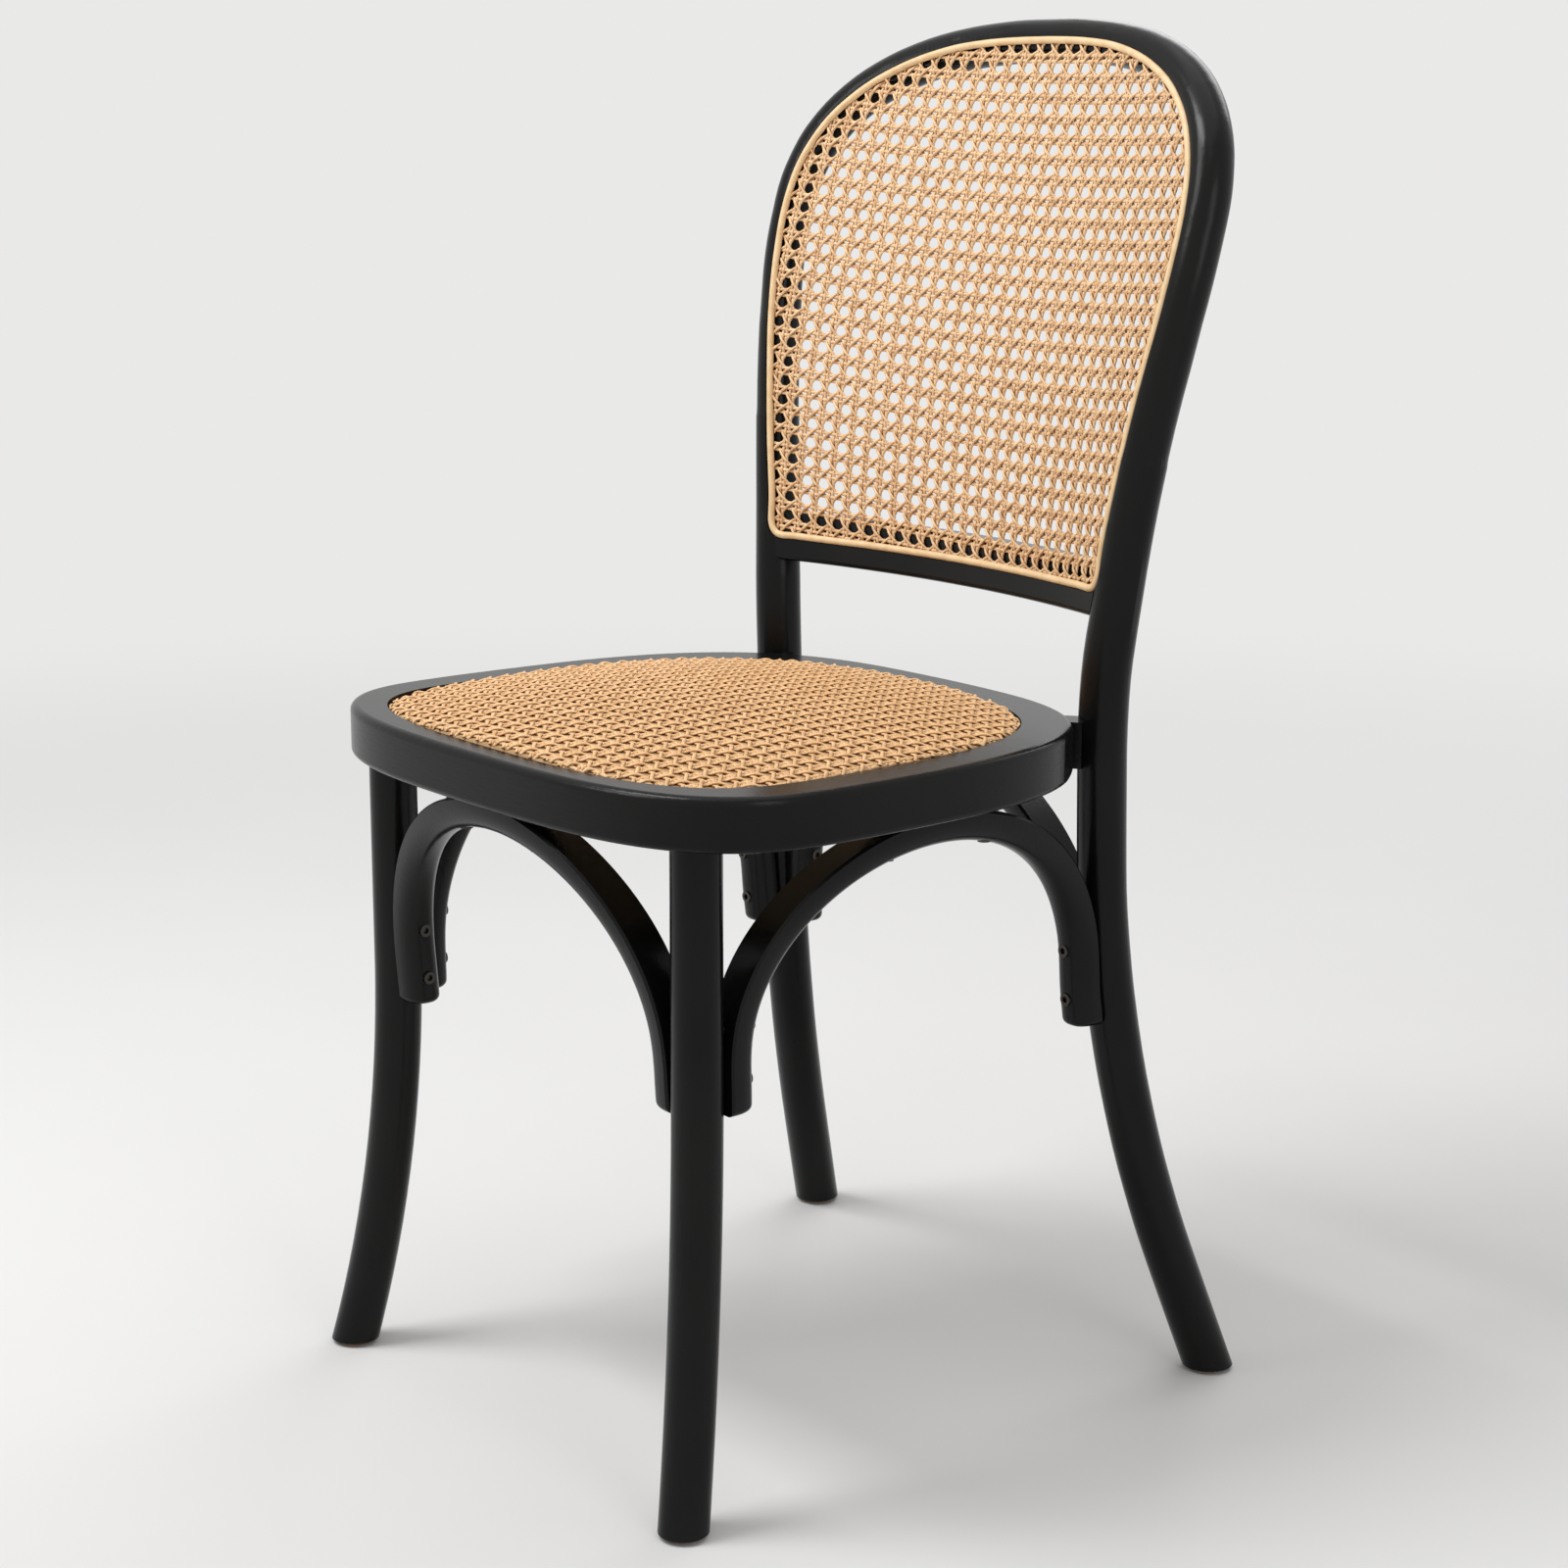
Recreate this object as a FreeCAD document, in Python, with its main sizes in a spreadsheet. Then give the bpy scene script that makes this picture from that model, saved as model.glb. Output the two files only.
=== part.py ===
"""Cane chair: bentwood hoop back and seat ring, arched leg braces, cane back and seat.

Millimetres. +Z is up, the front of the chair faces -Y, the origin is on the floor at the
middle of the chair's outline.
"""
import FreeCAD, Part
import math
import os
import Sketcher

Vec = FreeCAD.Vector
Rot = FreeCAD.Rotation
Place = FreeCAD.Placement
Z_AXIS = Vec(0, 0, 1)

doc = FreeCAD.newDocument("cane_chair")
sheet = doc.addObject("Spreadsheet::Sheet", "dims")

DIMS = [
    # seat ring
    ("seat_top", 458.7), ("seat_under", 424.8), ("ledge_top", 444.7), ("seat_centre", -120),
    ("ring_half_width", 226.4), ("ring_front", 133), ("ring_rear", 268.4), ("ring_power", 3.1),
    ("open_half_width", 197), ("open_front", 114), ("open_rear", 236.6), ("open_power", 3.15),
    ("ledge_width", 14), ("ring_round_top", 5), ("ring_round_under", 4),
    ("facet_angle", 38.5), ("facet_distance", 199.1),
    # seat board, pad and cane
    ("board_thick", 8), ("board_top", 452.7), ("board_screw_grip", 12), ("side_gap", 0.5),
    ("pad_side", 8), ("pad_crown", 18.5), ("cane_thick", 1.6), ("pad_round", 5),
    # hoop
    ("stile_radius", 16.4), ("crown_radius", 14.7), ("taper_low", 540), ("taper_high", 750),
    ("hoop_half_width", 206.2), ("hoop_shoulder", 770), ("hoop_rise", 123.4), ("hoop_power", 2.5),
    ("half_at_low", 170.4), ("half_at_rail", 177.5), ("half_at_mid", 187.9), ("half_at_high", 198.8),
    ("bow_radius", 690), ("lean_low", 0.08), ("lean_high", 0.272),
    ("lean_start", 530), ("lean_end", 740), ("back_at_start", 159.1),
    # rear leg flare
    ("rear_leg_half", 169.6), ("rear_leg_depth", 133.7), ("rear_flare_top", 400),
    ("rear_flare_end", 78), ("rear_flare_radius", 940), ("rear_flare_angle", 59),
    # front legs
    ("front_leg_radius", 16), ("front_leg_half", 170.2), ("front_leg_depth", -201),
    ("front_flare_top", 280), ("front_flare_radius", 1060), ("front_flare_angle", 52),
    ("tenon_radius", 9), ("tenon_length", 15),
    # back rail
    ("rail_under", 525), ("rail_top", 560), ("rail_front", 14.6), ("rail_back", -8.4),
    ("rail_round", 3.5), ("dowel_radius", 5), ("dowel_length", 38),
    # cane back and its binding
    ("cane_floor", 11.6), ("cane_lift", 0.2), ("net_thick", 1.8), ("binding_radius", 2.5),
    ("binding_depth", 14.3), ("binding_bottom", 544.2), ("binding_corner", 10),
    ("hole_radius", 9.4), ("hole_pitch", 29.7),
    # arches
    ("arch_width", 26), ("arch_depth", 20.5), ("arch_end", 254), ("arch_end_round", 5),
    ("arch_spring", 288),
    # fixings
    ("fit_gap", 0.25), ("screw_radius", 2.5), ("screw_head_radius", 4.3), ("screw_head", 3),
    ("screw_low", 273), ("screw_high", 307), ("screw_length", 29),
    ("crown_screw_length", 31), ("crown_screw_spread", 40),
    ("bolt_radius", 3), ("bolt_head_radius", 6.5), ("bolt_head", 4.5), ("bolt_height", 434.8),
    ("washer_radius", 8), ("washer_thick", 1.5), ("bolt_seat", 166), ("bolt_length", 58),
    ("glide_radius", 11), ("glide_thick", 3), ("nail_radius", 1.5), ("nail_length", 14),
]
for row, (alias, value) in enumerate(DIMS, start=1):
    sheet.set("A%d" % row, alias)
    sheet.set("B%d" % row, str(value))
    sheet.setAlias("B%d" % row, alias)
doc.recompute()


def dim(alias):
    """Value of a driving dimension."""
    return float(sheet.get(alias))


GAP = dim("fit_gap")
nodes = []


def keep(obj, label):
    """Name a sub-part and put it on the list that is written out."""
    obj.Label = label
    nodes.append(obj)
    return obj


def form(label, shape, placement=None):
    """Sub-part whose shape comes from the functions below."""
    obj = doc.addObject("Part::Feature", label)
    obj.Shape = shape
    obj.Placement = placement or Place()
    return keep(obj, label)


def frame_at(point, along, side):
    """Placement with local Z along a route and local X as near to side as it can be."""
    z = Vec(along).normalize()
    x = (side - z * side.dot(z)).normalize()
    return Place(point, Rot(x, z.cross(x), z, "ZXY"))


def disc(placement, radius):
    wire = Part.Wire([Part.makeCircle(radius)])
    wire.Placement = placement
    return wire


def loft(wires):
    return Part.makeLoft(wires, True, False)


def mirror_x(shape):
    return shape.mirror(Vec(0, 0, 0), Vec(1, 0, 0))


def rod(start, end, radius):
    """Round bar between two points."""
    way = end - start
    return Part.makeCylinder(radius, way.Length, start, way)


def along(points):
    """Smooth route through points, as a function of 0..1 giving point and direction."""
    curve = Part.BSplineCurve()
    curve.interpolate(points)
    first, last = curve.FirstParameter, curve.LastParameter

    def at(share):
        u = first + (last - first) * share
        return curve.value(u), curve.tangent(u)[0]
    return at


def super_outline(half_width, front, rear, power, centre, inset=0.0, count=40):
    """Points round a seat outline: two superellipse halves that meet at the centre line."""
    points = []
    for i in range(count):
        a = 2 * math.pi * (i + 0.5) / count
        c, s = math.cos(a), math.sin(a)
        depth = (rear if s > 0 else front) - inset
        x = (half_width - inset) * math.copysign(abs(c) ** (2 / power), c)
        y = centre + depth * math.copysign(abs(s) ** (2 / power), s)
        points.append(Vec(x, y, 0))
    return points


def meeting(p, along_p, q, along_q):
    """Corner between two tangents of a route, halfway between where they pass closest."""
    between = q - p
    a, b = Vec(along_p).normalize(), Vec(along_q).normalize()
    mix = a.dot(b)
    det = 1 - mix * mix
    if det < 1e-6:
        return (p + q) * 0.5
    s = (between.dot(a) - between.dot(b) * mix) / det
    t = (between.dot(a) * mix - between.dot(b)) / det
    if not 0.2 < s / between.Length < 0.8 or not 0.2 < -t / between.Length < 0.8:
        return (p + q) * 0.5
    return (p + a * s + q + b * t) * 0.5


def bent_rod(curve, radius_at, low=-1e6, high=1e6):
    """Round rod along a smooth route as straight runs joined by tangent arcs.

    The runs touch the route at its own points, those between the heights low and high.
    radius_at gives the radius at a point; it changes along the straight runs only.
    """
    params = [u for u in curve.getKnots() if low <= curve.value(u).z <= high]
    spots = [(curve.value(u), curve.tangent(u)[0]) for u in params]
    corners = [spots[0][0]]
    for (p, a), (q, b) in zip(spots, spots[1:]):
        corners.append(meeting(p, a, q, b))
    corners.append(spots[-1][0])
    solids = []
    here = corners[0]
    radius = radius_at(here)
    for k in range(1, len(corners) - 1):
        before = corners[k] - corners[k - 1]
        after = corners[k + 1] - corners[k]
        run_in, run_out = Vec(before).normalize(), Vec(after).normalize()
        turn = run_in.getAngle(run_out)
        reach = 0.45 * min(before.Length, after.Length)
        start = corners[k] - run_in * reach
        wider = radius_at(corners[k])
        length = (start - here).Length
        if abs(wider - radius) < 1e-6:
            solids.append(rod(here, start, radius))
        else:
            solids.append(Part.makeCone(radius, wider, length, here, run_in))
        radius = wider
        if turn < 1e-4:
            here = start
            continue
        bend = reach / math.tan(turn / 2)
        axis = run_in.cross(run_out).normalize()
        centre = start + axis.cross(run_in) * bend
        section = Part.Face(disc(frame_at(start, run_in, axis), radius))
        solids.append(section.revolve(centre, axis, math.degrees(turn)))
        here = corners[k] + run_out * reach
    solids.append(rod(here, corners[-1], radius))
    return solids[0].fuse(solids[1:])


def closed_curve(points):
    curve = Part.BSplineCurve()
    curve.interpolate(Points=points, PeriodicFlag=True)
    return curve


def add_sketch(body, name, height=None, turn=None):
    """Sketch on the body's XY plane, lifted to a sheet height or turned to another plane."""
    sketch = body.newObject("Sketcher::SketchObject", name)
    plane = [f for f in body.Origin.OriginFeatures if f.Role == "XY_Plane"][0]
    sketch.AttachmentSupport = [(plane, "")]
    sketch.MapMode = "FlatFace"
    if turn:
        sketch.AttachmentOffset = turn
    if height:
        sketch.setExpression("AttachmentOffset.Base.z", "dims." + height)
    return sketch


def add_circle(sketch, x, y, radius_alias, extra=""):
    """Circle whose radius follows the sheet, pinned to its place."""
    index = sketch.addGeometry(Part.Circle(Vec(x, y, 0), Z_AXIS, dim(radius_alias)), False)
    sketch.addConstraint(Sketcher.Constraint("DistanceX", index, 3, x))
    sketch.addConstraint(Sketcher.Constraint("DistanceY", index, 3, y))
    number = sketch.addConstraint(Sketcher.Constraint("Radius", index, dim(radius_alias)))
    sketch.setExpression("Constraints[%d]" % number, "dims." + radius_alias + extra)
    return index


def add_feature(body, kind, name, sketch, length, upward=True):
    """Pad or pocket whose length is an expression on the sheet."""
    feature = body.newObject("PartDesign::" + kind, name)
    feature.Profile = sketch
    feature.setExpression("Length", length)
    feature.Reversed = (kind == "Pad") != upward
    doc.recompute()
    return feature


def back_line(z):
    """Depth of the back's middle line at a height: upright low down, leaning back above."""
    low, high = dim("lean_low"), dim("lean_high")
    start, end = dim("lean_start"), dim("lean_end")
    if z < start:
        return dim("back_at_start") + low * (z - start)
    bend = (high - low) / (end - start)
    up = min(z, end) - start
    depth = dim("back_at_start") + low * up + bend * up * up / 2
    return depth + high * max(z - end, 0.0)


def back_point(x, z, forward=0.0):
    """Point on the bowed back surface, moved forward square to it."""
    bow = dim("bow_radius")

    def depth(px, pz):
        return back_line(pz) - bow + math.sqrt(bow * bow - px * px)
    dx = (depth(x + 1, z) - depth(x - 1, z)) / 2
    dz = (depth(x, z + 1) - depth(x, z - 1)) / 2
    normal = Vec(dx, -1, dz).normalize()
    return Vec(x, depth(x, z), z) + normal * forward


def flare(x, y, top, radius, angle, z, end=-1e9):
    """Leg centre at height z: straight above top, an arc below it, straight again under end."""
    if z >= top:
        return Vec(x, y, z)
    drop = top - max(z, end)
    out = radius - math.sqrt(radius * radius - drop * drop)
    if z < end:
        out += (end - z) * drop / math.sqrt(radius * radius - drop * drop)
    return Vec(x + out * math.cos(angle), y + out * math.sin(angle), z)


def rear_leg(z):
    """Centre of the right rear leg below the seat."""
    return flare(dim("rear_leg_half"), dim("rear_leg_depth"), dim("rear_flare_top"),
                 dim("rear_flare_radius"), math.radians(dim("rear_flare_angle")), z,
                 dim("rear_flare_end"))


def hoop_crown(share):
    """Right half of the hoop's crown in elevation, from the shoulder (0) to the top (1)."""
    a = math.pi / 2 * share
    power = 2 / dim("hoop_power")
    return (dim("hoop_half_width") * abs(math.cos(a)) ** power,
            dim("hoop_shoulder") + dim("hoop_rise") * abs(math.sin(a)) ** power)


FLANK = [(dim("half_at_low"), 465), (dim("half_at_rail"), 545), (dim("half_at_mid"), 627.4),
         (dim("half_at_high"), 697.6)]
CROWN = [hoop_crown(s) for s in (0.16, 0.3, 0.42, 0.54, 0.66, 0.78, 0.89, 1.0)]
ELEVATION = FLANK + [(dim("hoop_half_width"), dim("hoop_shoulder"))] + CROWN
hoop_points = [rear_leg(z) for z in (-15, 40, 78, 130, 190, 250, 310, 360, 405)]
hoop_points += [back_point(x, z) for x, z in ELEVATION]
hoop_curve = Part.BSplineCurve()
hoop_curve.interpolate(Points=hoop_points, InitialTangent=hoop_points[1] - hoop_points[0],
                       FinalTangent=Vec(-1, 0, 0))


def hoop_radius(z):
    """Rod radius: full in the legs and stiles, drawn down towards the crown."""
    share = (z - dim("taper_low")) / (dim("taper_high") - dim("taper_low"))
    share = min(max(share, 0.0), 1.0)
    return dim("stile_radius") + (dim("crown_radius") - dim("stile_radius")) * share


def under(x, z):
    """Elevation of the surface point that lies square behind a point seen on the cord."""
    px, pz = x, z
    for _ in range(5):
        seen = back_point(px, pz, dim("binding_depth"))
        px, pz = px + x - seen.x, pz + z - seen.z
    return px, pz


# Height on the rod, and how far inside its middle line the cord lies there.
CORD_INSET = ((560, 8.8), (690, 6.0), (785, 6.6), (838, 5.8), (872, 2.4), (889, -0.2), (900, -0.6))


def cord_inset(z):
    for (low, a), (high, b) in zip(CORD_INSET, CORD_INSET[1:]):
        if z < high:
            return a + (b - a) * max(z - low, 0) / (high - low)
    return CORD_INSET[-1][1]


def binding_line():
    """Right half of the cord's middle line on the back's surface, bottom to top centre."""
    line = along([Vec(x, 0, z) for x, z in ELEVATION])
    flank = []
    for i in range(61):
        point, way = line(i / 60.0)
        offset = cord_inset(point.z)
        flank.append((point.x - way.z * offset, point.z + way.x * offset))
    bottom, corner = dim("binding_bottom"), dim("binding_corner")
    flank = [p for p in flank if p[1] > bottom + corner + 4]
    side = flank[0][0] - 0.11 * (flank[0][1] - bottom - corner)
    points = [(side * s, bottom) for s in (0.0, 0.2, 0.4, 0.6, 0.8)]
    points.append((side - corner - 4, bottom))
    for angle in (-75, -45, -15):
        a = math.radians(angle)
        points.append((side - corner + corner * math.cos(a), bottom + corner + corner * math.sin(a)))
    points += flank[::4]
    points.append((0.0, flank[-1][1]))
    return [under(x, z) for x, z in points]


BINDING = binding_line()


def spread(points, offset):
    """Closed elevation outline, both halves, grown outward by offset."""
    half = []
    for i, (x, z) in enumerate(points):
        before = points[max(i - 1, 0)]
        after = points[min(i + 1, len(points) - 1)]
        way = Vec(after[0] - before[0], 0, after[1] - before[1]).normalize()
        if i in (0, len(points) - 1):
            way = Vec(1 if i == 0 else -1, 0, 0)
        half.append(Vec(x + way.z * offset, 0, z - way.x * offset))
    other = [Vec(-p.x, 0, p.z) for p in reversed(half[1:-1])]
    return half + other


def outline_block(points, low=-100.0, high=500.0):
    """Prism through the back whose elevation is a closed outline."""
    face = Part.Face(Part.Wire([closed_curve([Vec(p.x, low, p.z) for p in points]).toShape()]))
    return face.extrude(Vec(0, high - low, 0))


def back_surface(forward):
    """The bowed and leaning surface of the back, moved forward by a distance."""
    rows = []
    for i in range(11):
        z = 505 + 41.5 * i
        rows.append([back_point(-235 + 47 * j, z, forward) for j in range(11)])
    surface = Part.BSplineSurface()
    surface.interpolate(rows)
    return surface.toShape()


def binding_cord():
    """Round cord laid on the floor of the rebate, both halves."""
    curve = Part.BSplineCurve()
    points = [back_point(x, z, dim("binding_depth")) for x, z in BINDING]
    curve.interpolate(Points=points, InitialTangent=Vec(1, 0, 0), FinalTangent=Vec(-1, 0, 0))
    half = bent_rod(curve, lambda p: dim("binding_radius"))
    return half.fuse(mirror_x(half))


CORD = [back_point(x, z, dim("binding_depth")) for x, z in BINDING]
CORD = [(p.x, p.z) for p in CORD]
rebate = outline_block(spread(CORD, dim("binding_radius") + 1.4 * GAP))
rebate = rebate.common(back_surface(dim("cane_floor")).extrude(Vec(0, -60, 0)))


def dowel_ends(side):
    """Inner and outer end of the dowel between rail and stile."""
    middle = (dim("rail_under") + dim("rail_top")) / 2 - 2
    x = dim("half_at_rail") - 4
    outer = back_point(x, middle, 1.0)
    inner = back_point(x - dim("dowel_length"), middle, 1.0)
    return Vec(side * inner.x, inner.y, inner.z), Vec(side * outer.x, outer.y, outer.z)


def bolt_line(side):
    """Direction and start of the bolt through the ring's rear corner into the stile."""
    a = math.radians(dim("facet_angle"))
    leg = rear_leg(dim("bolt_height"))
    way = Vec(math.cos(a), math.sin(a), 0)
    seat = leg + way * (dim("bolt_seat") - leg.dot(way))
    return Vec(side * way.x, way.y, 0), Vec(side * seat.x, seat.y, dim("bolt_height"))


def nail_hole(x, y):
    top = dim("glide_thick") + dim("nail_length") + 1
    return rod(Vec(x, y, -5), Vec(x, y, top), dim("nail_radius") + GAP)


right_rebate = rebate.common(Part.makeBox(600, 600, 900, Vec(-10, 0, 400)))
hoop = bent_rod(hoop_curve, lambda p: hoop_radius(p.z)).cut(right_rebate)
hoop = hoop.cut(Part.makeBox(900, 900, 60, Vec(-450, -450, dim("glide_thick") - 60)))
rear_foot = rear_leg(dim("glide_thick"))
inner, outer = dowel_ends(1)
way, seat = bolt_line(1)
hoop = hoop.cut([
    rod(inner, outer + (outer - inner) * 0.01, dim("dowel_radius") + GAP),
    rod(seat, seat + way * (dim("bolt_length") + 1), dim("bolt_radius") + GAP),
    nail_hole(rear_foot.x, rear_foot.y),
])


def rail_solid():
    """Rail as a smooth run of equal rounded sections from stile to stile."""
    low, high, edge = dim("rail_under"), dim("rail_top"), dim("rail_round")
    front, back = dim("rail_front"), dim("rail_back")
    sections = []
    for i in range(13):
        x = -186 + 31.0 * i
        base = back_point(x, low)
        normal = (back_point(x, low, 1) - base).normalize()
        up = (back_point(x, high) - base).normalize()
        run = normal.cross(up)
        place = Place(base, Rot(normal, up, run, "ZXY"))
        tall = high - low
        box = Part.makeBox(front - back, tall, 1, Vec(back, 0, 0))
        upright = [e for e in box.Edges if abs(e.Vertexes[0].Z - e.Vertexes[1].Z) > 0.5]
        box = box.makeFillet(edge, upright)
        foot = [f for f in box.Faces if f.BoundBox.ZMax < 0.01][0]
        wire = foot.OuterWire.copy()
        wire.Placement = place.multiply(wire.Placement)
        sections.append(wire)
    return loft(sections)


cope = bent_rod(hoop_curve, lambda p: hoop_radius(p.z) + GAP, 430, 660)
rail = rail_solid().cut(rebate).cut(cope).cut(mirror_x(cope))
rail = max(rail.Solids, key=lambda s: s.Volume)
for side in (1, -1):
    inner, outer = dowel_ends(side)
    rail = rail.cut(rod(inner - (outer - inner) * 0.01, outer, dim("dowel_radius") + GAP))

form("back_rail", rail)
for side, name in ((-1, "left"), (1, "right")):
    inner, outer = dowel_ends(side)
    form("rail_dowel_" + name, rod(inner, outer, dim("dowel_radius")))
form("back_cane_binding", binding_cord())


def net_shape():
    """Cane net: thin bowed sheet with a grid of round openings."""
    edge = spread(CORD, -dim("binding_radius") - GAP)
    outline = closed_curve([Vec(p.x, -100, p.z) for p in edge]).toShape()
    rim = outline.discretize(200)
    room = Part.Face(Part.Wire([outline]))
    pitch, radius = dim("hole_pitch"), dim("hole_radius")
    wires = [Part.Wire([outline])]
    for i in range(-10, 11):
        for k in range(18):
            centre = Vec(i * pitch, -100, dim("binding_bottom") + 14 + k * pitch)
            clear = min((p - centre).Length for p in rim) > radius + 3
            if clear and room.isInside(centre, 0.01, True):
                wires.append(Part.Wire([Part.makeCircle(radius, centre, Vec(0, 1, 0))]))
    prism = Part.Face(wires).extrude(Vec(0, 600, 0))
    skin = back_surface(dim("cane_floor") + dim("cane_lift")).common(prism).Faces[0]
    return skin.extrude(Vec(0, -dim("net_thick"), 0)), len(wires) - 1


net, openings = net_shape()
form("back_cane_panel", net)

ring = doc.addObject("PartDesign::Body", "seat_ring")
outer = super_outline(dim("ring_half_width"), dim("ring_front"), dim("ring_rear"),
                      dim("ring_power"), dim("seat_centre"))
outer_sketch = add_sketch(ring, "ring_outline", "seat_under")
outer_sketch.addGeometry(closed_curve(outer), False)
blank = add_feature(ring, "Pad", "ring_blank", outer_sketch, "dims.seat_top - dims.seat_under")
for word, height in (("ring_round_top", "seat_top"), ("ring_round_under", "seat_under")):
    tip = ring.Tip
    rims = ["Edge%d" % (k + 1) for k, e in enumerate(tip.Shape.Edges)
            if abs(e.BoundBox.ZMin - dim(height)) < 0.01 and abs(e.BoundBox.ZMax - dim(height)) < 0.01]
    fillet = ring.newObject("PartDesign::Fillet", word + "_fillet")
    fillet.Base = (tip, rims)
    fillet.setExpression("Radius", "dims." + word)
    doc.recompute()


def opening(inset):
    return super_outline(dim("open_half_width"), dim("open_front"), dim("open_rear"),
                         dim("open_power"), dim("seat_centre"), inset)


well = add_sketch(ring, "cane_well", "seat_top")
well.addGeometry(closed_curve(opening(0)), False)
add_feature(ring, "Pocket", "cane_well_cut", well, "dims.seat_top - dims.ledge_top", False)
through = add_sketch(ring, "ledge_opening", "seat_top")
through.addGeometry(closed_curve(opening(dim("ledge_width"))), False)
add_feature(ring, "Pocket", "ledge_cut", through, "dims.seat_top - dims.seat_under + 1", False)

facet = add_sketch(ring, "stile_flats", "seat_top")
for side in (1, -1):
    a = math.radians(dim("facet_angle"))
    normal = Vec(side * math.cos(a), math.sin(a), 0)
    run = Vec(-normal.y, normal.x, 0)
    near = normal * dim("facet_distance")
    far = normal * (dim("facet_distance") + 40)
    corners = [near + run * 90, near - run * 90, far - run * 90, far + run * 90]
    for j in range(4):
        facet.addGeometry(Part.LineSegment(corners[j], corners[(j + 1) % 4]), False)
add_feature(ring, "Pocket", "stile_flats_cut", facet, "dims.seat_top - dims.seat_under + 1", False)

tenons = add_sketch(ring, "leg_mortises", "seat_under")
for side in (1, -1):
    add_circle(tenons, side * dim("front_leg_half"), dim("front_leg_depth"), "tenon_radius",
               " + dims.fit_gap")
add_feature(ring, "Pocket", "leg_mortise_cut", tenons, "dims.tenon_length + 0.5", True)

def arch_route(share, ends, mid_side, bow, lean, toe):
    """Point of an arch's flat: share runs -1..1 from end to end; returns span, side and height.

    ends are the two span limits, mid_side the sideways place at the ends, bow and lean carry
    the crown out under the ring, toe spreads each end below the spring.
    """
    spring, crown = dim("arch_spring"), dim("seat_under")
    centre = (ends[0] + ends[1]) / 2
    half = (ends[1] - ends[0]) / 2
    foot = spring - dim("arch_end")
    tail = 0.14
    run = abs(share)
    if run > 1 - tail:
        below = (run - (1 - tail)) / tail * foot
        z = spring - below
        span = half + toe[0 if share < 0 else 1] * below
        rise = 1.0
    else:
        a = math.pi / 2 * run / (1 - tail)
        z = spring + (crown - spring) * math.cos(a)
        span = half * math.sin(a)
        rise = math.sin(a)
    sideways = mid_side + lean * (z - dim("arch_end")) + bow * (1 - rise * rise)
    return centre + math.copysign(span, share), sideways, z


ARCHES = {
    # name: (axis, ends, side place at the ends, bow, lean, toe)
    "front": ("x", (-153.9, 153.9), -198.0, -16.0, -0.08, (0.0, 0.0)),
    "rear": ("x", (-156.2, 156.2), 142.6, 0.0, -0.062, (0.075, 0.075)),
    "right": ("y", (-184.7, 122.2), 171.5, 22.0, 0.0, (0.0, 0.12)),
    "left": ("y", (-184.7, 122.2), -171.5, -22.0, 0.0, (0.0, 0.12)),
}


def arch_point(name, share):
    axis, ends, mid_side, bow, lean, toe = ARCHES[name]
    span, sideways, z = arch_route(share, ends, mid_side, bow, lean, toe)
    return Vec(span, sideways, z) if axis == "x" else Vec(sideways, span, z)


def arch_section(place, width, depth):
    """Flat back with softened edges and a full round face, in the local XY plane."""
    soft = 1.5
    points = [Vec(-width / 2 + soft, 0, 0), Vec(width / 2 - soft, 0, 0)]
    side = [Vec(width / 2, -soft, 0)]
    for i in range(1, 12):
        a = math.pi * i / 12
        c, s = math.cos(a), math.sin(a)
        x = width / 2 * math.copysign(abs(c) ** 0.8, c)
        side.append(Vec(x, -soft - (depth - soft) * s ** 0.8, 0))
    side.append(Vec(-width / 2, -soft, 0))
    curve = Part.BSplineCurve()
    curve.interpolate(side)
    wire = Part.Wire([Part.makeLine(points[0], points[1]), Part.makeLine(points[1], side[0]),
                      curve.toShape(), Part.makeLine(side[-1], points[0])])
    wire.Placement = place
    return wire


def arch_shape(name):
    side_way = Vec(0, 1, 0) if ARCHES[name][0] == "x" else Vec(-1, 0, 0)
    wires = []
    for i in range(25):
        share = -1 + 2 * i / 24.0
        point = arch_point(name, share)
        step = 0.004
        way = arch_point(name, min(share + step, 1)) - arch_point(name, max(share - step, -1))
        if abs(share) > 0.99:
            way = Vec(0, 0, 1 if share < 0 else -1)
        z = Vec(way).normalize()
        x = (side_way - z * side_way.dot(z)).normalize()
        out = z.cross(x)
        if out.dot(point - Vec(0, -30, 200)) < 0:
            out = out * -1
            x = x * -1
        wires.append(arch_section(Place(point, Rot(x, out, z, "ZXY")), dim("arch_width"),
                                  dim("arch_depth")))
    shape = loft(wires)
    feet = [f for f in shape.Faces if f.BoundBox.ZMax < dim("arch_end") + 0.01]
    rims = [max(f.Edges, key=lambda e: e.Length) for f in feet]
    return shape.makeFillet(dim("arch_end_round"), rims)


def screw(head_at, way, length, head=None):
    """Socket-head screw: head centre plane at head_at, shank along way."""
    way = Vec(way).normalize()
    radius = dim("screw_head_radius")
    tall = dim("screw_head")
    body = rod(head_at, head_at + way * length, dim("screw_radius"))
    cap = rod(head_at - way * tall, head_at, radius)
    socket = rod(head_at - way * (tall + 1), head_at - way * (tall - 2), 2.1)
    return body.fuse(cap).cut(socket)


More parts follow.
